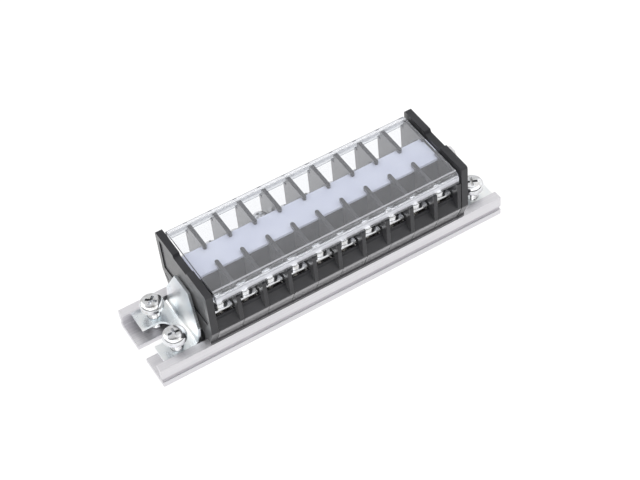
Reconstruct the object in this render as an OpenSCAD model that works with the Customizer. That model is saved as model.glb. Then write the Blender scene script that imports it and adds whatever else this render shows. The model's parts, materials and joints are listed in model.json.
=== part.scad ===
// Barrier terminal strip: two-screw poles side by side on an aluminium rail,
// held by two jack-screw brackets, under a clear lift-off cover.
// Millimetres. X runs along the rail, Z points up, and the origin lies under
// the middle of the rail. The front row of terminals faces -Y.

/* [Rail] */
// Width of the rail over its two side walls
rail_w = 26.8; // [25.8:0.1:29]
// Height of the rail, which the row stands on
rail_h = 7; // [6.4:0.1:9]
// Thickness of the rail's floor
rail_web = 1.5; // [1:0.1:1.7]
// Thickness of the rail's side walls
rail_wall = 1.5; // [1.2:0.1:1.6]
// Thickness of the two lips that close in the channel
rail_lip = 0.9; // [0.7:0.1:1.1]
// Reach of each lip over the channel
rail_lip_reach = 1.4; // [1.2:0.1:1.7]
// Bottom of the groove along each side wall
rail_groove_z = 1.8; // [1.2:0.1:3]
// Height of that groove
rail_groove_h = 1.6; // [1:0.1:2.5]
// Depth of that groove
rail_groove_d = 0.6; // [0.2:0.1:0.8]
// Rail left free beyond the left end plate
rail_end_left = 16.44; // [15:0.01:30]
// Rail left free beyond the right end plate
rail_end_right = 12.74; // [12.6:0.01:30]
// Width of the open mounting slot at each end of the rail
rail_slot_w = 5.3; // [3:0.1:6]
// Length of that slot
rail_slot_len = 11; // [6:0.1:14]
// Rail left free in front of and behind the mouldings that stand on it
rail_edge = 0.6; // [0.4:0.1:1.2]

/* [Poles] */
// Number of poles
poles = 10; // [2:1:10]
// Distance from one pole to the next
pole_pitch = 8.12; // [7.9:0.01:9]
// Thickness of the barrier between two poles
barrier_t = 1.37; // [1:0.01:1.5]
// Width of a moulding from front to back
body_w = 30; // [29.4:0.1:31]
// Height of the upright foot above the rail
sill_h = 1; // [0.5:0.1:2]
// Height above the rail at which the body reaches its full width
flare_h = 6.1; // [4:0.1:6.4]
// Height of the terminal floor above the rail
deck_h = 8.4; // [8.2:0.1:9.6]
// Setback of the terminal floor's edge from the face of the barriers
apron_d = 2.3; // [2:0.1:2.6]
// Drop of the sloping apron in front of the terminal floor
apron_drop = 1.7; // [0.6:0.1:1.8]
// Height of the ledge that the cover's lip comes down to
ledge_h = 16.5; // [15.5:0.1:17]
// Height of the barriers above the rail
barrier_h = 20; // [19.4:0.1:21]
// Setback of the barriers above that ledge
rebate_d = 1.8; // [1.6:0.1:1.9]
// Chamfer at the barriers' upper outer corners
barrier_chamfer = 0.3; // [0.2:0.1:0.8]
// Height of the central block above the rail
block_h = 17.9; // [17.6:0.1:18.4]
// Room between the central block and the square clamping washers
washer_room = 1.05; // [0.9:0.05:1.3]
// Gap between the barrier tips over the marking strip
tip_gap = 5.8; // [4:0.1:7]

/* [Hooks] */
// Thickness of the legs that reach down between the rail's lips
leg_t = 1.2; // [1:0.1:1.6]
// Thickness of the hooks under the lips
hook_t = 1.2; // [0.8:0.1:1.4]
// Reach of each hook past the lip's edge
hook_reach = 0.9; // [0.5:0.1:1]
// Height of the hollow under each moulding, above the rail
hollow_h = 1.2; // [0.5:0.1:1.6]

/* [End plates] */
// Thickness of each end plate
plate_t = 2.31; // [2:0.01:3]
// Height of the end plates above the rail
plate_h = 22; // [21.6:0.1:24]
// Length of the notch in each end plate's top edge
notch_w = 8.4; // [4:0.1:12]
// Depth of that notch
notch_d = 1; // [0.5:0.1:1.5]
// Width of the raised rim round the sunk panel
rim_w = 1.9; // [1.5:0.1:3]
// Height above the rail at which the sunk panel starts
panel_h = 8.3; // [7:0.1:10]
// Depth of the sunk panel
panel_d = 0.35; // [0.2:0.05:0.8]
// Chamfer at the plates' two upper corners
plate_chamfer = 0.5; // [0.2:0.1:1.5]
// Length of the slanted slot in the rear half of each plate's outer face
plate_slot_len = 2.3; // [1.5:0.1:3]
// Width of that slot
plate_slot_w = 0.7; // [0.4:0.1:1]
// Depth of that slot
plate_slot_d = 0.8; // [0.4:0.1:1.2]
// Height of that slot's middle above the rail
plate_slot_h = 4.7; // [4:0.1:5.5]
// Distance of that slot's middle from the plate's rear face
plate_slot_inset = 2.3; // [2.1:0.1:4]
// Slope of that slot, in degrees
plate_slot_slope = 38; // [20:1:60]

/* [Terminals] */
// Distance of the terminal screws from the moulding's front and rear faces
screw_inset = 6; // [5.9:0.1:6.2]
// Thickness of the conductor bar
bar_t = 0.8; // [0.6:0.1:1]
// Width of the conductor bar
bar_w = 6; // [5.6:0.1:6.4]
// Outer diameter of the threaded collar drawn down from the bar
collar_d = 4.4; // [4:0.1:5]
// Depth of that collar below the bar
collar_h = 1.1; // [0.6:0.1:1.5]
// Thread diameter of the terminal screws
screw_d = 3; // [2.6:0.1:3.4]
// Rise of a terminal screw in one turn
screw_pitch = 0.5; // [0.4:0.05:0.6]
// Length of a terminal screw under its head
screw_len = 6; // [5.5:0.1:6.6]
// Head diameter of the terminal screws
head_d = 5.3; // [4.8:0.1:5.6]
// Head height of the terminal screws
head_h = 2; // [1.6:0.1:2.4]
// Side length of the square clamping washers
washer_w = 6; // [5.4:0.1:6.2]
// Thickness of the square clamping washers
washer_t = 0.8; // [0.5:0.1:1]
// Hole diameter of the square clamping washers
washer_hole_d = 3.5; // [3.5:0.1:4]

/* [Marking strip] */
// Setback of the strip's long edges from the faces of the central block
strip_edge = 0.15; // [0.15:0.05:0.4]
// Thickness of the marking strip
strip_t = 0.8; // [0.5:0.1:1]

/* [Cover] */
// Thickness of the cover's flat top
cover_t = 0.9; // [0.7:0.1:1]
// Thickness of the cover's front and rear lips
cover_lip_t = 1.1; // [0.9:0.1:1.2]
// Outside radius of the bend from the flat top to each lip
cover_bend_r = 1.9; // [1.3:0.1:2.4]
// Space between the cover's end and each end plate
cover_end_gap = 0.75; // [0.3:0.05:1]
// Space between the lip's lower edge and the barriers' ledge
cover_ledge_gap = 0.7; // [0.3:0.1:1]
// Height of the bead's nose above the lip's lower edge
bead_nose_h = 0.3; // [0.2:0.1:0.6]
// Length of the slope from the nose up to the lip's inner face
bead_slope_h = 1.3; // [0.6:0.1:1.4]

/* [End brackets] */
// Thickness of the bracket sheet
sheet_t = 0.8; // [0.6:0.1:1]
// Inside radius of the bend
bend_r = 0.9; // [0.6:0.1:1.5]
// Length of the flat foot, from its end to the bend
foot_len = 10.36; // [10:0.01:11]
// Width of the upright at the bend
upright_w = 19.2; // [17:0.1:20]
// Width of the upright where its sides close in more steeply
upright_mid_w = 16.3; // [14:0.1:17]
// Width of the upright at its top
upright_top_w = 8; // [6:0.1:10]
// Height above the rail up to which the upright keeps its width
upright_low_h = 4.5; // [3.5:0.1:5.5]
// Height above the rail at which its sides close in more steeply
upright_mid_h = 7; // [6:0.1:9]
// Height of the upright's top above the rail
upright_h = 13.9; // [12:0.1:16]
// Lean of the left upright towards the row, in degrees
lean_left = 6.4; // [0:0.1:7]
// Lean of the right upright towards the row, in degrees
lean_right = 0.5; // [0:0.1:7]
// Width of the open notch in the foot
foot_notch_w = 7.4; // [6:0.1:8]
// Length of that notch, from the foot's end to its round bottom
foot_notch_len = 7.75; // [7:0.01:8.5]
// Distance of the jack screws from the foot's end
jack_inset = 5.5; // [5:0.1:6]
// Distance between the two jack screws of a bracket
jack_spread = 14.1; // [13.6:0.1:15]
// Thread diameter of the jack screws
jack_d = 4; // [3.5:0.1:4.4]
// Head diameter of the jack screws
jack_head_d = 7.2; // [6.4:0.1:7.6]
// Head height of the jack screws
jack_head_h = 2.5; // [2:0.1:3]
// Length of the jack screws under their heads
jack_len = 8.2; // [8:0.1:10]

/* [Hidden] */
$fn = 48;

// Clearances: between two mouldings, round a fitted part, round a screw's thread,
// beside a leg or a foot that slides along the rail, and between faces that touch
seam = 0.15;
fit_gap = 0.1;
thread_gap = 0.05;
slide_gap = 0.3;
foot_gap = 0.2;
touch_gap = 0.02;

// How far a cut runs past the face that it opens
past = 1;

// How far each terminal screw is backed out, in turns, front row and rear row
front_turns = [2.02, 2.11, 1.95, 2.08, 2.46, 2.22, 2.04, 1.97, 2.13, 2.06];
rear_turns = [0.62, 0.71, 0.58, 5.03, 0.66, 0.75, 0.6, 0.69, 0.55, 0.64];

// How far each jack screw is turned, in degrees, front and rear
left_jack_turns = [-5, 45];
right_jack_turns = [65, 35];

// Dome of a pan head, in shares of its radius and height, above a small rounded rim
dome = [[1, 0.45], [0.93, 0.72], [0.78, 0.9], [0.55, 0.98], [0, 1]];
head_rim = 0.2;

// Driver grooves in shares of the head's diameter and height: length of the full
// groove and of the arm across it, width and depth
terminal_groove = [1.2, 0.6, 0.15, 0.45];
jack_groove = [0.6, 0.6, 0.14, 0.6];

// Chamfers at the ends of the terminal and jack screws
screw_end = 0.35;
jack_end = 0.5;

// Lengths along the rail
pocket_w = pole_pitch - barrier_t;
row_len = 2 * plate_t + poles * pole_pitch;
rail_len = rail_end_left + row_len + rail_end_right;
row_x0 = rail_end_left - rail_len / 2;
row_x1 = row_x0 + row_len;
first_pole_x = row_x0 + plate_t;

// Heights of the mouldings
flare_z = rail_h + flare_h;
deck_z = rail_h + deck_h;
apron_z = deck_z - apron_drop;
ledge_z = rail_h + ledge_h;
barrier_z = rail_h + barrier_h;
block_z = rail_h + block_h;
plate_z = rail_h + plate_h;
tip_z = block_z + strip_t + 2 * fit_gap;
hollow_z = rail_h + hollow_h;
lip_under_z = rail_h - rail_lip;
hook_z = lip_under_z - fit_gap;

// Distances from the middle line
deck_y = body_w / 2 - apron_d;
rebate_y = body_w / 2 - rebate_d;
channel_y = rail_w / 2 - rail_wall;
mouth_y = channel_y - rail_lip_reach;
waist_y = rail_w / 2 - rail_edge;
leg_y = mouth_y - slide_gap;
screw_y = body_w / 2 - screw_inset;
block_y = screw_y - washer_w / 2 - washer_room;
strip_w = 2 * (block_y - strip_edge);
groove_y = strip_w / 2 + fit_gap;
tip_r = barrier_t / 2;
tip_y = tip_gap / 2 + tip_r;

// Stop ridge along the terminal floor's edge
ridge_t = 0.4;
ridge_h = 0.4;

// Terminals, with the room for a screw in its blind hole
bar_z = deck_z + bar_t;
ridge_z = bar_z + ridge_h;
bar_len = 2 * (deck_y - ridge_t - fit_gap);
terminal_x = pocket_w / 2;
shank_r = screw_d / 2 - thread_gap;
collar_z = deck_z - collar_h;
hole_room = 0.5;
hole_end_z = bar_z + washer_t - screw_len - hole_room;

// Cover, with the small bead inside each lip
cover_z = barrier_z + fit_gap;
cover_top_z = cover_z + cover_t;
cover_x0 = first_pole_x + cover_end_gap;
cover_x1 = row_x1 - plate_t - cover_end_gap;
lip_y = body_w / 2 - cover_lip_t;
lip_z = ledge_z + cover_ledge_gap;
bead_y = rebate_y + 2 * fit_gap;

// Marking strip, which lies nearer to the left end plate
strip_x0 = first_pole_x + cover_end_gap / 2;
strip_len = cover_x1 - strip_x0;

// Brackets
foot_top_z = lip_under_z - touch_gap;
foot_z = foot_top_z - sheet_t;
foot_w = 2 * (channel_y - foot_gap);
bend_z = foot_top_z + bend_r;
upright_z = rail_h + upright_h;
jack_head_z = rail_web + jack_len;

// Both halves of an outline that is the same to the front and to the rear
function both_sides(half) =
    concat(half, [for (i = [len(half) - 1:-1:0]) [-half[i][0], half[i][1]]]);

function pole_x(i) = first_pole_x + i * pole_pitch;

// A front-to-back section drawn out along the rail
module drawn(length) {
    rotate([90, 0, 90])
        linear_extrude(length)
            children();
}

module along_rail(length, outline) {
    drawn(length)
        polygon(outline);
}

// Outline from the hollow under a moulding round its hook to its full width
function moulding_base() = [
    [0, hollow_z],
    [leg_y - leg_t, hollow_z],
    [leg_y - leg_t, hook_z - hook_t],
    [mouth_y + hook_reach, hook_z - hook_t],
    [mouth_y + hook_reach, hook_z],
    [leg_y, hook_z],
    [leg_y, rail_h],
    [waist_y, rail_h],
    [waist_y, rail_h + sill_h],
    [body_w / 2, flare_z]
];

// Terminal floor with its stop ridge and the sloping apron in front of it
function pocket_outline() = both_sides(concat(moulding_base(), [
    [body_w / 2, apron_z],
    [deck_y, deck_z],
    [deck_y, ridge_z],
    [deck_y - ridge_t, ridge_z],
    [deck_y - ridge_t, deck_z],
    [0, deck_z]
]));

function barrier_outline() = both_sides(concat(moulding_base(), [
    [body_w / 2, ledge_z],
    [rebate_y, ledge_z],
    [rebate_y, barrier_z - barrier_chamfer],
    [rebate_y - barrier_chamfer, barrier_z],
    [tip_y, barrier_z],
    [tip_y, tip_z],
    [groove_y, tip_z],
    [groove_y, block_z],
    [0, block_z]
]));

// Middle block, clear of the conductor bar that passes under it
function block_outline() = both_sides([
    [0, bar_z + fit_gap],
    [block_y, bar_z + fit_gap],
    [block_y, block_z],
    [0, block_z]
]);

function plate_outline() = both_sides(concat(moulding_base(), [
    [body_w / 2, plate_z - plate_chamfer],
    [body_w / 2 - plate_chamfer, plate_z],
    [notch_w / 2, plate_z],
    [notch_w / 2 - notch_d / 2, plate_z - notch_d],
    [0, plate_z - notch_d]
]));

function panel_outline() = both_sides([
    [0, rail_h + panel_h],
    [body_w / 2 - rim_w, rail_h + panel_h],
    [body_w / 2 - rim_w, plate_z - rim_w],
    [0, plate_z - rim_w]
]);

function rail_outline() = both_sides([
    [0, 0],
    [rail_w / 2, 0],
    [rail_w / 2, rail_groove_z],
    [rail_w / 2 - rail_groove_d, rail_groove_z],
    [rail_w / 2 - rail_groove_d, rail_groove_z + rail_groove_h],
    [rail_w / 2, rail_groove_z + rail_groove_h],
    [rail_w / 2, rail_h],
    [mouth_y, rail_h],
    [mouth_y, lip_under_z],
    [channel_y, lip_under_z],
    [channel_y, rail_web],
    [0, rail_web]
]);

// Upright rectangle that is round at its two upper corners
module round_topped(width, bottom_z, top_z, radius) {
    translate([-width / 2, bottom_z])
        square([width, top_z - bottom_z - radius]);
    translate([radius - width / 2, bottom_z])
        square([width - 2 * radius, top_z - bottom_z]);
    for (side = [-1, 1])
        translate([side * (width / 2 - radius), top_z - radius])
            circle(r = radius);
}

// Section of the cover: flat top, round bends, upright lips with a bead inside
module cover_section() {
    difference() {
        round_topped(body_w, lip_z, cover_top_z, cover_bend_r);
        round_topped(2 * lip_y, lip_z - past, cover_z, cover_bend_r - cover_lip_t);
    }
    for (side = [-1, 1])
        polygon([
            [side * body_w / 2, lip_z],
            [side * lip_y, lip_z],
            [side * bead_y, lip_z + bead_nose_h],
            [side * lip_y, lip_z + bead_nose_h + bead_slope_h],
            [side * body_w / 2, lip_z + bead_nose_h + bead_slope_h]
        ]);
}

module rail_slot() {
    translate([0, 0, -past])
        linear_extrude(rail_web + 2 * past)
            union() {
                translate([-past, -rail_slot_w / 2])
                    square([rail_slot_len + past - rail_slot_w / 2, rail_slot_w]);
                translate([rail_slot_len - rail_slot_w / 2, 0])
                    circle(d = rail_slot_w);
            }
}

module rail() {
    color("silver")
        difference() {
            translate([-rail_len / 2, 0, 0])
                along_rail(rail_len, rail_outline());
            translate([-rail_len / 2, 0, 0])
                rail_slot();
            translate([rail_len / 2, 0, 0])
                mirror([1, 0, 0])
                    rail_slot();
        }
}

// Slanted slot in the rear half of an end plate's outer face
module plate_slot() {
    translate([-past, body_w / 2 - plate_slot_inset, rail_h + plate_slot_h])
        rotate([plate_slot_slope, 0, 0])
            translate([0, -plate_slot_len / 2, -plate_slot_w / 2])
                cube([plate_slot_d + past, plate_slot_len, plate_slot_w]);
}

// Left end plate with its outer face at x = 0
module end_plate() {
    color("dimgray")
        difference() {
            along_rail(plate_t - seam, plate_outline());
            translate([-past, 0, 0])
                along_rail(panel_d + past, panel_outline());
            plate_slot();
        }
}

module end_plate_left() {
    translate([row_x0, 0, 0])
        end_plate();
}

module end_plate_right() {
    translate([row_x1, 0, 0])
        mirror([1, 0, 0])
            end_plate();
}

module blind_hole(y) {
    translate([terminal_x, y, hole_end_z])
        cylinder(d = screw_d + 2 * hole_room, h = deck_z);
    translate([terminal_x, y, collar_z - fit_gap])
        cylinder(d = collar_d + 2 * fit_gap, h = deck_z);
}

// Moulding of one pole: open pocket side at its left, barrier at its right
module pole(i) {
    color("dimgray")
        translate([pole_x(i), 0, 0]) {
            difference() {
                along_rail(pocket_w, pocket_outline());
                blind_hole(screw_y);
                blind_hole(-screw_y);
            }
            along_rail(pocket_w, block_outline());
            translate([pocket_w, 0, 0])
                along_rail(barrier_t - seam, barrier_outline());
            for (side = [-1, 1])
                translate([pocket_w + tip_r - seam / 2, side * tip_y, tip_z])
                    cylinder(r = tip_r - seam / 2, h = barrier_z - tip_z);
        }
}

module conductor_bar() {
    difference() {
        union() {
            translate([-bar_w / 2, -bar_len / 2, deck_z])
                cube([bar_w, bar_len, bar_t]);
            for (side = [-1, 1])
                translate([0, side * screw_y, collar_z])
                    cylinder(d = collar_d, h = collar_h);
        }
        for (side = [-1, 1])
            translate([0, side * screw_y, 0])
                cylinder(d = screw_d, h = plate_z);
    }
}

module conductor_bars() {
    color("gainsboro")
        for (i = [0:poles - 1])
            translate([pole_x(i) + terminal_x, 0, 0])
                conductor_bar();
}

// Half outline of a pan head, standing on z = 0
function pan_head(radius, height) = concat(
    [[0, 0], [radius - head_rim, 0], [radius, head_rim]],
    [for (share = dome) [radius * share[0], height * share[1]]]
);

// Pan head with a driver groove and an arm across it
module grooved_head(diameter, height, groove) {
    difference() {
        rotate_extrude()
            polygon(pan_head(diameter / 2, height));
        for (arm = [0, 1])
            rotate([0, 0, 90 * arm])
                translate([0, 0, height * (1.5 - groove[3])])
                    cube([diameter * groove[arm], diameter * groove[2], height], center = true);
    }
}

// Plain shank under a head, chamfered at its end
module shank(radius, length, chamfer) {
    translate([0, 0, -length])
        cylinder(r1 = radius - chamfer, r2 = radius, h = chamfer);
    translate([0, 0, chamfer - length])
        cylinder(r = radius, h = length - chamfer);
}

module terminal_screw() {
    color("lightgray") {
        grooved_head(head_d, head_h, terminal_groove);
        shank(shank_r, screw_len, screw_end);
    }
}

module clamp_washer() {
    color("lightgray")
        difference() {
            translate([-washer_w / 2, -washer_w / 2, 0])
                cube([washer_w, washer_w, washer_t]);
            translate([0, 0, -past])
                cylinder(d = washer_hole_d, h = washer_t + 2 * past);
        }
}

// Place of one terminal, side -1 in front and 1 at the rear, at its backed-out height
module at_terminal(i, side, turns) {
    translate([pole_x(i) + terminal_x, side * screw_y, bar_z + turns * screw_pitch])
        children();
}

module terminal_washer(i, side, turns) {
    at_terminal(i, side, turns)
        clamp_washer();
}

module turned_screw(i, side, turns) {
    at_terminal(i, side, turns)
        translate([0, 0, washer_t + touch_gap])
            rotate([0, 0, 360 * turns])
                terminal_screw();
}

module marking_strip() {
    color("lavender")
        translate([strip_x0, -strip_w / 2, block_z])
            cube([strip_len, strip_w, strip_t]);
}

module cover() {
    color("azure", 0.35)
        translate([cover_x0, 0, 0])
            drawn(cover_x1 - cover_x0)
                cover_section();
}

// Start of a left bracket's bend and end of its foot, for its top edge against x = 0
function bend_x(lean) = -touch_gap - sheet_t * cos(lean) - (upright_z - bend_z) * tan(lean) - bend_r;
function bracket_end_x(lean) = bend_x(lean) - foot_len;

// Left bracket seen from the front: foot, bend and leaning upright
module bracket_profile(lean) {
    bend_out = bend_r + sheet_t;
    translate([bracket_end_x(lean), foot_z])
        square([foot_len, sheet_t]);
    translate([bend_x(lean), bend_z]) {
        intersection() {
            difference() {
                circle(r = bend_out);
                circle(r = bend_r);
            }
            polygon([
                [0, 0],
                [0, -3 * bend_out],
                [3 * bend_out, -3 * bend_out],
                [3 * bend_out * cos(lean), -3 * bend_out * sin(lean)]
            ]);
        }
        rotate(-lean)
            translate([bend_r, 0])
                square([sheet_t, (upright_z - bend_z) / cos(lean)]);
    }
}

// Left bracket with the end plate's outer face at x = 0
module end_bracket(lean) {
    end_x = bracket_end_x(lean);
    color("lightsteelblue")
        difference() {
            rotate([90, 0, 0])
                translate([0, 0, -foot_w / 2])
                    linear_extrude(foot_w)
                        bracket_profile(lean);
            for (side = [0, 1])
                mirror([0, side, 0]) {
                    translate([bend_x(lean), 0, 0])
                        along_rail(past - bend_x(lean), [
                            [upright_w / 2, 0],
                            [upright_w / 2, rail_h + upright_low_h],
                            [upright_mid_w / 2, rail_h + upright_mid_h],
                            [upright_top_w / 2, upright_z],
                            [upright_top_w / 2, upright_z + past],
                            [foot_w, upright_z + past],
                            [foot_w, 0]
                        ]);
                    translate([end_x + jack_inset, jack_spread / 2, 0])
                        cylinder(d = jack_d, h = rail_h);
                }
            translate([end_x - past, -foot_notch_w / 2, 0])
                cube([foot_notch_len + past - foot_notch_w / 2, foot_notch_w, rail_h]);
            translate([end_x + foot_notch_len - foot_notch_w / 2, 0, 0])
                cylinder(d = foot_notch_w, h = rail_h);
        }
}

module end_bracket_left() {
    translate([row_x0, 0, 0])
        end_bracket(lean_left);
}

module end_bracket_right() {
    translate([row_x1, 0, 0])
        mirror([1, 0, 0])
            end_bracket(lean_right);
}

module jack_screws(x, turns) {
    for (row = [0, 1])
        translate([x, (2 * row - 1) * jack_spread / 2, jack_head_z])
            rotate([0, 0, turns[row]]) {
                grooved_head(jack_head_d, jack_head_h, jack_groove);
                shank(jack_d / 2 - thread_gap, jack_len, jack_end);
            }
}

module bracket_screws() {
    color("lightgray") {
        jack_screws(row_x0 + bracket_end_x(lean_left) + jack_inset, left_jack_turns);
        jack_screws(row_x1 - bracket_end_x(lean_right) - jack_inset, right_jack_turns);
    }
}

rail();
end_plate_left();
end_plate_right();
end_bracket_left();
end_bracket_right();
bracket_screws();
marking_strip();
cover();
conductor_bars();
for (i = [1:poles]) {
    pole(i - 1);
    terminal_washer(i - 1, -1, front_turns[i - 1]);
    turned_screw(i - 1, -1, front_turns[i - 1]);
    terminal_washer(i - 1, 1, rear_turns[i - 1]);
    turned_screw(i - 1, 1, rear_turns[i - 1]);
}
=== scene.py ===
import json
import math
import bpy
from mathutils import Euler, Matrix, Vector


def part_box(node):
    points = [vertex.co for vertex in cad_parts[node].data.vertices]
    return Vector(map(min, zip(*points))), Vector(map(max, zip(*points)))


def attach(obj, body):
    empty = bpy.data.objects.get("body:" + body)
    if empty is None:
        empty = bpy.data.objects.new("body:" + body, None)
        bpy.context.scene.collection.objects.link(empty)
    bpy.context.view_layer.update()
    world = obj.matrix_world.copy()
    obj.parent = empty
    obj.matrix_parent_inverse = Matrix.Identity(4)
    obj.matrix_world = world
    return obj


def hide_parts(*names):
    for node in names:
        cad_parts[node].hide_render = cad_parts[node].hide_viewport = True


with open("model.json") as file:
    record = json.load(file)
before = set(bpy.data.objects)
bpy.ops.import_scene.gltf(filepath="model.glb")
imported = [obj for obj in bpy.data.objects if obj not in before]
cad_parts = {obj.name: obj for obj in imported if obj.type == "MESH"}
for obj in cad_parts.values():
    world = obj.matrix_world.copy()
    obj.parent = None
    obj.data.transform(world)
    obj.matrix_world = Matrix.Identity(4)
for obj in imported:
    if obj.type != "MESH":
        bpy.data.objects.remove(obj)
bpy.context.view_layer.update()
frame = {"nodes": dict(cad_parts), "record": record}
nodes = frame["nodes"]
record = frame["record"]
mm = 0.001


# Shader maths: a socket that Python's operators work on

def findSocket(sockets, key):  # by its index, identifier or name
    if isinstance(key, int):
        return sockets[key]
    for socket in sockets:
        if socket.identifier == key:
            return socket
    return sockets[key]


def plug(tree, socket, value):
    if isinstance(value, Field):
        tree.links.new(value.socket, socket)
        return
    if isinstance(value, tuple) and len(value) == 3 and len(socket.default_value) == 4:
        value = (*value, 1.0)  # a colour's alpha
    socket.default_value = value


def bendCurve(mapping, spots):  # a new curve has its two end points
    points = mapping.curves[0].points
    for i, spot in enumerate(spots):
        if i == 0:
            point = points[0]
        elif i == len(spots) - 1:
            point = points[len(points) - 1]
        else:
            point = points.new(*spot)
        point.location = spot
        point.handle_type = "AUTO_CLAMPED"
    mapping.update()


class Field:
    def __init__(self, tree, socket=None):
        self.tree = tree
        self.socket = socket

    def node(self, kind, settings=None, values=None, output=0):
        made = self.tree.nodes.new(kind)
        for key, value in (settings or {}).items():
            if key == "curve":
                bendCurve(made.mapping, value)
            else:
                setattr(made, key, value)
        for key, value in (values or {}).items():
            plug(self.tree, findSocket(made.inputs, key), value)
        return Field(self.tree, findSocket(made.outputs, output) if made.outputs else None)

    def maths(self, operation, first, second=0.0):
        return self.node("ShaderNodeMath", {"operation": operation}, {0: first, 1: second})

    def apply(self, operation):  # an operation on one value
        return self.maths(operation, self)

    def __add__(self, other):
        return self.maths("ADD", self, other)

    def __radd__(self, other):
        return self.maths("ADD", other, self)

    def __sub__(self, other):
        return self.maths("SUBTRACT", self, other)

    def __rsub__(self, other):
        return self.maths("SUBTRACT", other, self)

    def __mul__(self, other):
        return self.maths("MULTIPLY", self, other)

    def __rmul__(self, other):
        return self.maths("MULTIPLY", other, self)

    def __truediv__(self, other):
        return self.maths("DIVIDE", self, other)

    def __pow__(self, other):
        return self.maths("POWER", self, other)

    def __gt__(self, other):
        return self.maths("GREATER_THAN", self, other)

    def __lt__(self, other):
        return self.maths("LESS_THAN", self, other)

    def __abs__(self):
        return self.apply("ABSOLUTE")

    def clamped(self):
        return self.node("ShaderNodeClamp", {}, {"Value": self})

    def smooth(self, low, high, toLow=0.0, toHigh=1.0):
        return self.node("ShaderNodeMapRange", {"interpolation_type": "SMOOTHSTEP"},
                         {"Value": self, "From Min": low, "From Max": high,
                          "To Min": toLow, "To Max": toHigh}, "Result")

    def within(self, low, high, blur):  # 1 between two values, 0 outside
        return self.smooth(low - blur, low + blur) * self.smooth(high - blur, high + blur, 1.0, 0.0)

    def curve(self, spots):
        return self.node("ShaderNodeFloatCurve", {"curve": spots}, {"Value": self})

    def mixed(self, first, second):  # colours, by this value
        return self.node("ShaderNodeMix", {"data_type": "RGBA"},
                         {"Factor_Float": self, "A_Color": first, "B_Color": second}, "Result_Color")

    def blended(self, first, second):  # shaders, by this value
        return self.node("ShaderNodeMixShader", {}, {0: self, 1: first, 2: second})

    def axes(self, vector):
        split = self.node("ShaderNodeSeparateXYZ", {}, {0: vector}).socket.node
        return [Field(self.tree, socket) for socket in split.outputs]

    def vector(self, x=0.0, y=0.0, z=0.0):
        return self.node("ShaderNodeCombineXYZ", {}, {"X": x, "Y": y, "Z": z})

    def facing(self):  # 0 where a surface is seen square on, 1 at its outline
        return self.node("ShaderNodeLayerWeight", {}, {"Blend": 0.5}, "Facing")

    def noise(self, place, scale, detail, roughness=0.5):
        return self.node("ShaderNodeTexNoise", {},
                         {"Vector": place, "Scale": scale, "Detail": detail, "Roughness": roughness})

    def streaks(self, place, stretch, detail, roughness=0.5):  # a noise drawn out along an axis
        drawn = self.node("ShaderNodeMapping", {}, {"Vector": place, "Scale": stretch})
        return self.noise(drawn, 1.0, detail, roughness)

    def relief(self, height, depth, strength, edge):  # fine bumps, over softened edges
        softened = self.node("ShaderNodeBevel", {"samples": bevelSamples}, {"Radius": edge})
        return self.node("ShaderNodeBump", {}, {"Height": height, "Distance": depth,
                                                "Strength": strength, "Normal": softened})


# Materials. A noise is (scale per metre, detail, roughness), and streaks have a scale for each axis.
# A range or a pair of heights is where a smooth change starts and where it ends.

bevelSamples = 4


def newMaterial(name):
    made = bpy.data.materials.new(name)
    made.use_nodes = True
    made.node_tree.nodes.clear()
    field = Field(made.node_tree)
    return made, field, field.node("ShaderNodeTexCoord", output="Object")


def endMaterial(field, shader):
    field.node("ShaderNodeOutputMaterial", {}, {"Surface": shader})


def principled(field, values):
    return field.node("ShaderNodeBsdfPrincipled", {}, values)


def cloudyFinish(field, place, look):  # what the cloudy, finely grained surfaces share
    cloud = field.noise(place, *look["cloud"])
    grain = field.noise(place, *look["grain"])
    return {"Base Color": cloud.smooth(*look["cloudRange"]).mixed(look["colour"], look["cloudColour"]),
            "Roughness": look["roughness"] + (grain - 0.5) * look["grainRough"]
            + (cloud - 0.5) * look["cloudRough"],
            "Normal": field.relief(grain, look["grainDepth"], look["grainStrength"], look["edge"])}


housingLook = {
    "colour": (0.018, 0.018, 0.021), "cloudColour": (0.028, 0.028, 0.032), "roughness": 0.36,
    "cloud": (160.0, 4.0), "cloudRange": (0.35, 0.7), "cloudRough": 0.14,
    "grain": (5200.0, 2.0), "grainDepth": 0.010 * mm, "grainStrength": 0.6, "grainRough": 0.12,
    "ior": 1.42, "sheen": 0.25, "sheenRoughness": 0.3, "edge": 0.14 * mm,
    "coatFacing": (0.42, 0.68), "coatRoughness": 0.10, "coatIor": 2.6,
    "baseTop": 13.1 * mm, "baseBlur": 0.2 * mm, "coatAboveBase": 0.5,
    "polesBetween": (-38.75 * mm, 42.45 * mm), "polesBlur": 0.02 * mm, "plateDulling": 0.7}


def housingMaterial():
    look = housingLook
    made, field, place = newMaterial("mouldedHousing")
    along, _, rise = field.axes(place)
    plates = 1.0 - along.within(*look["polesBetween"], look["polesBlur"])
    base = rise.smooth(look["baseTop"] - look["baseBlur"], look["baseTop"] + look["baseBlur"],
                       1.0, look["coatAboveBase"])
    coat = field.facing().smooth(*look["coatFacing"]) * (1.0 - plates * look["plateDulling"]) * base
    endMaterial(field, principled(field, {
        **cloudyFinish(field, place, look), "IOR": look["ior"], "Sheen Weight": look["sheen"],
        "Sheen Roughness": look["sheenRoughness"], "Coat Weight": coat,  # the light flare on the poles
        "Coat Roughness": look["coatRoughness"], "Coat IOR": look["coatIor"]}))
    return made


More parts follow.
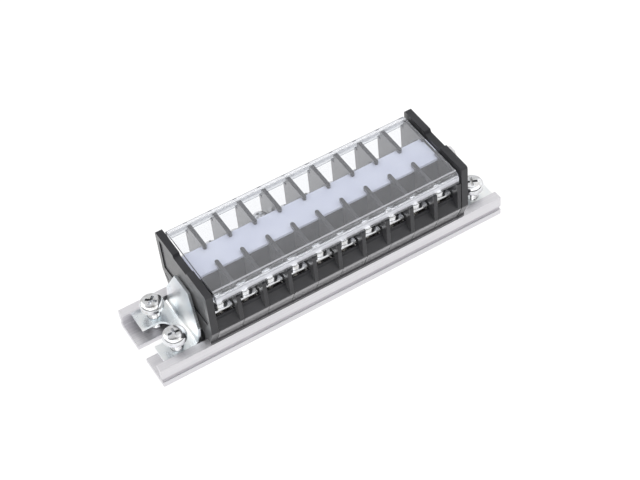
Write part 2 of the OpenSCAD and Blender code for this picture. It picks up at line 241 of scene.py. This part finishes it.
railLook = {
    "colour": (0.79, 0.78, 0.80), "darkColour": (0.69, 0.68, 0.71), "roughness": 0.46,
    "lines": ((18.0, 2600.0, 2600.0), 3.0, 0.6), "lineRange": (0.3, 0.7), "lineRough": 0.2,
    "lineDepth": 0.01 * mm, "lineStrength": 0.5, "cloud": (90.0, 3.0), "cloudRough": 0.15,
    # painted shade: the groove colour and share paint the groove on the rail's front darker
    "grooveShadeColour": (0.25, 0.25, 0.27), "grooveShade": 0.2,
    "grooveBetween": (1.8 * mm, 3.4 * mm), "grooveBlur": 0.05 * mm, "edge": 0.15 * mm}


def railMaterial():
    look = railLook
    made, field, place = newMaterial("extrudedAluminium")
    lines = field.streaks(place, *look["lines"])
    cloud = field.noise(place, *look["cloud"])
    colour = lines.smooth(*look["lineRange"]).mixed(look["darkColour"], look["colour"])
    # painted shade: the groove band is mixed towards a darker colour
    groove = field.axes(place)[2].within(*look["grooveBetween"], look["grooveBlur"])
    colour = (groove * look["grooveShade"]).mixed(colour, look["grooveShadeColour"])
    endMaterial(field, principled(field, {
        "Base Color": colour, "Metallic": 1.0,
        "Roughness": look["roughness"] + (lines - 0.5) * look["lineRough"]
        + (cloud - 0.5) * look["cloudRough"],
        "Normal": field.relief(lines, look["lineDepth"], look["lineStrength"], look["edge"])}))
    return made


zincLook = {
    "colour": (0.80, 0.85, 0.88), "cloudColour": (0.97, 0.97, 0.96), "roughness": 0.29,
    "cloud": (130.0, 3.0), "cloudRange": (0.38, 0.66), "cloudRough": 0.36,
    "grain": (2600.0, 2.0), "grainDepth": 0.004 * mm, "grainStrength": 0.5, "grainRough": 0.06,
    # painted shade: the top keys make the upright darker towards its top
    "topShadeColour": (0.52, 0.57, 0.62), "topShadeBetween": (11.0 * mm, 20.0 * mm), "topShadeShare": 0.6,
    "edge": 0.12 * mm}


def zincMaterial():
    look = zincLook
    made, field, place = newMaterial("zincPlatedSheet")
    finish = cloudyFinish(field, place, look)
    paintedTopShade = field.axes(place)[2].smooth(*look["topShadeBetween"])  # painted shade: the upright is made darker towards its top
    finish["Base Color"] = (paintedTopShade * look["topShadeShare"]).mixed(finish["Base Color"], look["topShadeColour"])
    endMaterial(field, principled(field, {**finish, "Metallic": 1.0}))
    return made


screwLook = {
    "colour": (0.78, 0.79, 0.81), "cloudColour": (0.56, 0.55, 0.53), "roughness": 0.13,
    "cloud": (500.0, 4.0, 0.6), "cloudRange": (0.42, 0.75), "cloudRough": 0.14,
    "grain": (4200.0, 2.0), "grainDepth": 0.008 * mm, "grainStrength": 0.6, "grainRough": 0.08,
    "edge": 0.06 * mm}


def screwMaterial():
    made, field, place = newMaterial("platedScrewSteel")
    finish = cloudyFinish(field, place, screwLook)
    endMaterial(field, principled(field, {**finish, "Metallic": 1.0}))
    return made


barLook = {
    "colour": (0.74, 0.72, 0.68), "roughness": 0.28, "lines": ((2400.0, 60.0, 2400.0), 3.0),
    "lineDepth": 0.006 * mm, "lineStrength": 0.6, "lineRough": 0.2, "edge": 0.08 * mm}


def barMaterial():
    look = barLook
    made, field, place = newMaterial("nickelPlatedBar")
    lines = field.streaks(place, *look["lines"])
    endMaterial(field, principled(field, {
        "Base Color": look["colour"], "Metallic": 1.0,
        "Roughness": look["roughness"] + (lines - 0.5) * look["lineRough"],
        "Normal": field.relief(lines, look["lineDepth"], look["lineStrength"], look["edge"])}))
    return made


markingLook = {
    "colour": (0.61, 0.63, 0.75), "cloudColour": (0.66, 0.68, 0.79), "roughness": 0.45,
    "cloud": (120.0, 4.0), "cloudRange": (0.35, 0.7), "cloudRough": 0.0,
    "grain": (4000.0, 2.0), "grainDepth": 0.006 * mm, "grainStrength": 0.5, "grainRough": 0.1,
    "edge": 0.1 * mm}


def markingMaterial():
    made, field, place = newMaterial("markingStripPlastic")
    endMaterial(field, principled(field, cloudyFinish(field, place, markingLook)))
    return made


coverLook = {
    "colour": (0.90, 0.91, 0.93), "roughness": 0.02, "ior": 1.5, "edge": 0.12 * mm,
    "ripple": (140.0, 2.0), "rippleDepth": 0.02 * mm, "rippleStrength": 0.3, "stepBlur": 0.05 * mm,
    "scuffs": ((60.0, 900.0, 900.0), 3.0), "scuffRange": (0.6, 0.8), "scuffRough": 0.05,
    "beadTop": 25.9 * mm, "beadColour": (0.97, 0.975, 0.98), "beadRoughness": 0.04,
    "beadShine": 0.04, "beadOutlineShine": 0.5, "beadFalloff": 3.0,
    # painted highlight: the lip and bend haze shares paint a white band on the lips and a light line at
    # each bend, over a thin haze
    "hazeAndHighlightColour": (0.86, 0.87, 0.93), "hazeAndHighlight": 0.04,
    "lipBetween": (25.0 * mm, 26.6 * mm), "lipBlur": 0.3 * mm, "lipOutside": 13.3 * mm,
    "lipFacing": (0.1, 0.36), "lipHighlight": 0.5,
    "bendBetween": (13.05 * mm, 13.6 * mm), "bendBlur": 0.08 * mm, "bendAbove": (27.6 * mm, 27.7 * mm),
    # painted shade: the rim keys paint a darker rim on the bends and the lips
    "bendHighlight": 0.3, "rimShadeColour": (0.30, 0.31, 0.35), "rimFacing": (0.42, 0.8), "rim": 0.7,
    "lightThrough": (0.9, 0.91, 0.92)}


def coverMaterial():
    look = coverLook
    made, field, place = newMaterial("clearCover")
    _, side, rise = field.axes(place)
    outward = abs(side)
    grazing = field.facing()
    ripple = field.noise(place, *look["ripple"])
    scuffs = field.streaks(place, *look["scuffs"]).smooth(*look["scuffRange"])
    clear = principled(field, {
        "Base Color": look["colour"], "Transmission Weight": 1.0, "IOR": look["ior"],
        "Roughness": look["roughness"] + scuffs * look["scuffRough"],
        "Normal": field.relief(ripple, look["rippleDepth"], look["rippleStrength"], look["edge"])})

    # the lips' lower part, where the beads are, doesn't bend what is seen through it
    through = field.node("ShaderNodeBsdfTransparent", {}, {"Color": look["beadColour"]})
    mirror = field.node("ShaderNodeBsdfAnisotropic", {}, {"Roughness": look["beadRoughness"]})
    shine = look["beadShine"] + grazing ** look["beadFalloff"] * look["beadOutlineShine"]
    bead = rise.smooth(look["beadTop"] - look["stepBlur"], look["beadTop"], 1.0, 0.0)
    clear = bead.blended(clear, shine.blended(through, mirror))

    # a thin haze, plus a painted highlight: whiter on the lips and in a line at each bend
    lip = rise.within(*look["lipBetween"], look["lipBlur"]) * grazing.smooth(*look["lipFacing"]) \
        * outward.smooth(look["lipOutside"] - look["stepBlur"], look["lipOutside"])
    bend = outward.within(*look["bendBetween"], look["bendBlur"]) * rise.smooth(*look["bendAbove"])
    hazeAndHighlight = look["hazeAndHighlight"] + lip * look["lipHighlight"] + bend * look["bendHighlight"]
    hazeAndHighlightShader = field.node("ShaderNodeBsdfDiffuse", {}, {"Color": look["hazeAndHighlightColour"]})
    clear = hazeAndHighlight.blended(clear, hazeAndHighlightShader)

    # painted shade: a darker rim where the bends and the lips are seen at a low angle
    rim = grazing.smooth(*look["rimFacing"]) * look["rim"] * outward.smooth(*look["bendBetween"])
    paintedRimShade = field.node("ShaderNodeBsdfDiffuse", {}, {"Color": look["rimShadeColour"]})
    clear = rim.blended(clear, paintedRimShade)

    # the pieces under the cover get their light straight through it
    shadow = field.node("ShaderNodeLightPath", output="Is Shadow Ray")
    diffuse = field.node("ShaderNodeLightPath", output="Is Diffuse Ray")
    lit = field.node("ShaderNodeBsdfTransparent", {}, {"Color": look["lightThrough"]})
    endMaterial(field, field.maths("MAXIMUM", shadow, diffuse).blended(clear, lit))
    return made


slotMaterials = {"rail_metal": railMaterial, "housing": housingMaterial, "clear_cover": coverMaterial,
                 "marking": markingMaterial, "zinc_sheet": zincMaterial, "screw_metal": screwMaterial,
                 "bar_metal": barMaterial}


def dressNodes():
    made = {name: build() for name, build in slotMaterials.items()}
    for part in record["subparts"]:
        mesh = nodes[part["node"]].data
        mesh.materials.clear()
        mesh.materials.append(made[part["material_slot"]])
    return made


# Screws, all made by one Geometry Nodes tree

terminalScrew = {"headDiameter": 5.3 * mm, "headHeight": 2.0 * mm, "shankDiameter": 2.9 * mm,
                 "shankLength": 6.0 * mm, "threadPitch": 0.5 * mm, "threadDepth": 0.28 * mm,
                 "endTaper": 0.35 * mm, "grooveLength": 5.6 * mm, "armLength": 3.3 * mm,
                 "grooveWidth": 0.8 * mm, "grooveDepth": 0.95 * mm, "grooveTaper": 0.25, "around": 48}
jackScrew = {"headDiameter": 7.2 * mm, "headHeight": 2.5 * mm, "shankDiameter": 3.9 * mm,
             "shankLength": 8.2 * mm, "threadPitch": 0.7 * mm, "threadDepth": 0.38 * mm,
             "endTaper": 0.5 * mm, "grooveLength": 4.4 * mm, "armLength": 4.4 * mm,
             "grooveWidth": 1.0 * mm, "grooveDepth": 1.5 * mm, "grooveTaper": 0.45, "around": 64}
jackTurns = [-5.0, 45.0, 65.0, 35.0]  # degrees: left front, left rear, right front, right rear
screwMesh = {"headRows": 40, "rowsPerPitch": 8,
             "tuck": 0.2 * mm,  # how far a shank reaches up into its head
             "tipWidth": 0.72,  # a shank's end, as a share of its width
             "closeWithin": 0.002 * mm,  # joins the seam and the ends
             "sharpFrom": 38.0}  # degrees
headProfile = [  # way from the underside's middle to the top's, share of the radius, of the height
    (0.0, 0.0, 0.0), (0.16, 0.95, 0.0), (0.24, 1.0, 0.09), (0.40, 1.0, 0.42),
    (0.52, 0.965, 0.64), (0.66, 0.86, 0.84), (0.82, 0.56, 0.97), (1.0, 0.0, 1.0)]


def turnedGrid(field, around, rows, radius, height):  # rolls a grid round Z: seam and poles closed
    grid = field.node("GeometryNodeMeshGrid", {}, {"Size X": 1.0, "Size Y": 1.0, "Vertices X": around,
                                                   "Vertices Y": rows}, "Mesh")
    angle = (field.axes(field.node("GeometryNodeInputPosition"))[0] + 0.5) * (2 * math.pi)
    place = field.vector(radius * angle.apply("COSINE"), radius * angle.apply("SINE"), height)
    rolled = field.node("GeometryNodeSetPosition", {},
                        {"Geometry": grid, "Position": place}, "Geometry")
    return field.node("GeometryNodeMergeByDistance", {},
                      {"Geometry": rolled, "Distance": screwMesh["closeWithin"]}, "Geometry")


def screwHead(field, size, along):
    radius = along.curve([(way, out) for way, out, _ in headProfile]) * size["headDiameter"] * 0.5
    height = along.curve([(way, up) for way, _, up in headProfile]) * size["headHeight"]
    head = turnedGrid(field, size["around"], screwMesh["headRows"], radius, height)
    tall = size["headHeight"]
    for arm, key in enumerate(("grooveLength", "armLength")):  # a cross groove, one arm at a time
        block = field.node("GeometryNodeMeshCube", {},
                           {"Size": field.vector(size[key], size["grooveWidth"], tall)}, "Mesh")
        x, y, z = field.axes(field.node("GeometryNodeInputPosition"))
        narrow = 1.0 - size["grooveTaper"] * (z < 0.0)
        cutter = field.node("GeometryNodeSetPosition", {}, {
            "Geometry": block, "Position": field.vector(x * narrow, y * narrow, z)}, "Geometry")
        cutter = field.node("GeometryNodeTransform", {}, {
            "Geometry": cutter, "Translation": field.vector(z=tall * 1.5 - size["grooveDepth"]),
            "Rotation": (0.0, 0.0, arm * math.pi / 2)}, "Geometry")
        head = field.node("GeometryNodeMeshBoolean", {"operation": "DIFFERENCE", "solver": "EXACT"},
                          {"Mesh 1": head, "Mesh 2": cutter}, "Mesh")
    return head


def screwShank(field, size, across, along):
    threadRows = size["shankLength"] / size["threadPitch"] * screwMesh["rowsPerPitch"]
    rows = threadRows.apply("CEIL") + 4.0
    step = along * (rows - 1.0)
    share = ((step - 1.0) / (rows - 3.0)).clamped()
    height = share * (size["shankLength"] + screwMesh["tuck"]) - size["shankLength"]
    phase = height / size["threadPitch"] - across
    valley = abs(phase.apply("FRACT") * 2.0 - 1.0)  # 0 on the thread's crest, 1 at its root
    fromTip = ((height + size["shankLength"]) / size["endTaper"]).clamped()
    taper = screwMesh["tipWidth"] + (1.0 - screwMesh["tipWidth"]) * fromTip
    inside = (step > 0.5) * (step < rows - 1.5)  # the first and the last row shrink to a point
    radius = (size["shankDiameter"] * 0.5 - size["threadDepth"] * valley) * taper * inside
    return turnedGrid(field, size["around"], rows, radius, height)


def screwTree():
    tree = bpy.data.node_groups.new("grooveHeadScrew", "GeometryNodeTree")
    tree.interface.new_socket("places", in_out="INPUT", socket_type="NodeSocketGeometry")
    for name in terminalScrew:
        kind = "NodeSocketInt" if name == "around" else "NodeSocketFloat"
        tree.interface.new_socket(name, in_out="INPUT", socket_type=kind)
    tree.interface.new_socket("metal", in_out="INPUT", socket_type="NodeSocketMaterial")
    tree.interface.new_socket("screws", in_out="OUTPUT", socket_type="NodeSocketGeometry")
    given = tree.nodes.new("NodeGroupInput")
    size = {socket.name: Field(tree, socket) for socket in given.outputs if socket.name}
    field = Field(tree)
    across, along = [axis + 0.5 for axis in field.axes(field.node("GeometryNodeInputPosition"))[:2]]
    both = tree.nodes.new("GeometryNodeJoinGeometry")
    for part in (screwHead(field, size, along), screwShank(field, size, across, along)):
        tree.links.new(part.socket, both.inputs[0])
    turn = field.node("GeometryNodeInputNamedAttribute", {"data_type": "FLOAT"}, {"Name": "turn"})
    placed = field.node("GeometryNodeInstanceOnPoints", {}, {
        "Points": size["places"], "Instance": Field(tree, both.outputs[0]),
        "Rotation": field.vector(z=turn)})
    whole = field.node("GeometryNodeRealizeInstances", {}, {"Geometry": placed})
    dressed = field.node("GeometryNodeSetMaterial", {}, {"Geometry": whole, "Material": size["metal"]})
    field.node("NodeGroupOutput", {}, {"screws": dressed})
    return tree


def makeScrews(tree, name, sizes, places, turns, metal):
    seats = bpy.data.meshes.new(name + "Seats")
    seats.from_pydata(places, [], [])
    seats.attributes.new("turn", "FLOAT", "POINT").data.foreach_set("value", turns)
    piece = bpy.data.objects.new(name, seats)
    bpy.context.scene.collection.objects.link(piece)
    modifier = piece.modifiers.new("screws", "NODES")
    modifier.node_group = tree
    given = {**sizes, "metal": metal}
    for socket in tree.interface.items_tree:
        if socket.in_out == "INPUT" and socket.name in given:
            modifier[socket.identifier] = given[socket.name]
    seen = piece.evaluated_get(bpy.context.evaluated_depsgraph_get())
    mesh = bpy.data.meshes.new_from_object(seen)
    piece.modifiers.clear()
    piece.data = mesh
    mesh.polygons.foreach_set("use_smooth", [True] * len(mesh.polygons))
    mesh.set_sharp_from_angle(angle=math.radians(screwMesh["sharpFrom"]))
    return piece


def dressScrews(metal):
    tree = screwTree()
    low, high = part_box("bracket_screws")
    radius = jackScrew["headDiameter"] / 2
    places = [(x, y, high.z - jackScrew["headHeight"]) for x in (low.x + radius, high.x - radius)
              for y in (low.y + radius, high.y - radius)]
    turns = [math.radians(turn) for turn in jackTurns]
    jacks = makeScrews(tree, "jackScrews", jackScrew, places, turns, metal)
    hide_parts("bracket_screws")
    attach(jacks, "row")
    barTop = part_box("conductor_bars")[1].z
    terminals = [name for name in nodes if "_screw_" in name]
    for name in terminals:
        side, _, number = name.split("_")
        low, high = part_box(name)
        middle = (low + high) / 2
        place = (middle.x, middle.y, high.z - terminalScrew["headHeight"])
        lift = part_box(f"{side}_washer_{number}")[0].z - barTop
        turn = 2 * math.pi * lift / terminalScrew["threadPitch"]  # a raised screw has turned on the way
        piece = makeScrews(tree, f"{side}Screw{number}", terminalScrew, [place], [turn], metal)
        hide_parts(name)
        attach(piece, f"{side}_driver_{number}")
    print("screws made:", len(places), "in the brackets and", len(terminals), "in the terminals")


# Studio

cameraSetup = {"place": (-139.47, -287.54, 365.80),  # millimetres, and the angles in degrees
               "tilt": 41.924, "roll": 4.384, "turn": -31.190, "lens": 92.3}


def placeCamera():
    data = bpy.data.cameras.new("camera")
    data.lens = cameraSetup["lens"]
    data.sensor_width = 36.0
    data.clip_start = 0.01
    data.clip_end = 10.0
    camera = bpy.data.objects.new("camera", data)
    camera.location = Vector(cameraSetup["place"]) * mm
    camera.rotation_euler = Euler([math.radians(cameraSetup[key]) for key in ("tilt", "roll", "turn")])
    bpy.context.scene.collection.objects.link(camera)
    bpy.context.scene.camera = camera


studio = {"floorSize": 3.0, "floorColour": (0.82, 0.82, 0.82), "floorGlow": 1.13, "floorShade": 0.25,
          "skyForLight": 0.50, "skyForGloss": 0.76,
          "roomFront": (-0.44, -0.90, 0.0), "roomRange": (0.0, 0.3), "roomTop": (0.63, 0.78),
          "roomDark": 0.92, "ceilingRange": (0.86, 0.96), "ceilingDark": 0.75,
          "lamps": [
              {"name": "leftSoftbox", "place": (-0.8, -0.3, 0.9), "size": 1.5, "power": 4.5},
              {"name": "rearSoftbox", "place": (-0.55, 0.75, 0.82), "size": 0.75, "power": 2.0},
              {"name": "rightSoftbox", "place": (0.8, 0.0, 0.9), "size": 1.5, "power": 3.0},
              {"name": "topSoftbox", "place": (-0.1, -0.7, 1.2), "size": 2.6, "power": 19.5}]}
white = (1.0, 1.0, 1.0)


def lookingRays(field):  # 1 where a camera or glass ray looks, 1 where a mirror ray looks
    camera = field.node("ShaderNodeLightPath", output="Is Camera Ray")
    glossy = field.node("ShaderNodeLightPath", output="Is Glossy Ray")
    through = field.node("ShaderNodeLightPath", output="Is Transmission Ray")
    return field.maths("MAXIMUM", camera, through), glossy


def makeWorld():
    world = bpy.data.worlds.new("studio")
    bpy.context.scene.world = world
    world.use_nodes = True
    world.node_tree.nodes.clear()
    field = Field(world.node_tree)
    way = field.node("ShaderNodeTexCoord", output="Generated")
    rise = field.axes(way)[2]
    front = field.node("ShaderNodeVectorMath", {"operation": "DOT_PRODUCT"},
                       {0: way, 1: studio["roomFront"]}, "Value")
    room = front.smooth(*studio["roomRange"]) * rise.smooth(*studio["roomTop"], 1.0, 0.0)
    ceiling = rise.smooth(*studio["ceilingRange"])
    gloss = (1.0 - room * studio["roomDark"]) * (1.0 - ceiling * studio["ceilingDark"]) \
        * studio["skyForGloss"]  # a dim room behind the camera, a dim ceiling behind the top softbox
    eye, mirror = lookingRays(field)
    strength = studio["skyForLight"] + eye * (1.0 - studio["skyForLight"]) \
        + mirror * (gloss - studio["skyForLight"])
    sky = field.node("ShaderNodeBackground", {}, {"Color": white, "Strength": strength})
    field.node("ShaderNodeOutputWorld", {}, {"Surface": sky})


def makeFloor():
    half = studio["floorSize"] / 2
    mesh = bpy.data.meshes.new("floor")
    mesh.from_pydata([(-half, -half, 0), (half, -half, 0), (half, half, 0), (-half, half, 0)], [],
                     [(0, 1, 2, 3)])
    floor = bpy.data.objects.new("floor", mesh)
    bpy.context.scene.collection.objects.link(floor)
    made, field, _ = newMaterial("paleFloor")
    matt = field.node("ShaderNodeBsdfDiffuse", {}, {"Color": studio["floorColour"]})
    glow = field.node("ShaderNodeEmission", {}, {"Color": white, "Strength": studio["floorGlow"]})
    seen = field.maths("MAXIMUM", *lookingRays(field)) * (1.0 - studio["floorShade"])
    endMaterial(field, seen.blended(matt, glow))
    mesh.materials.append(made)


def makeLamps():
    for lamp in studio["lamps"]:
        data = bpy.data.lights.new(lamp["name"], "AREA")
        data.shape = "SQUARE"
        data.size = lamp["size"]
        data.energy = lamp["power"]
        light = bpy.data.objects.new(lamp["name"], data)
        light.location = lamp["place"]
        light.rotation_euler = (-Vector(lamp["place"])).to_track_quat("-Z", "Y").to_euler()
        bpy.context.scene.collection.objects.link(light)


bpy.context.scene.view_settings.view_transform = "Standard"
placeCamera()
makeWorld()
makeFloor()
makeLamps()
print("studio ready")
materials = dressNodes()
print("materials on", len(nodes), "nodes")
dressScrews(materials["screw_metal"])
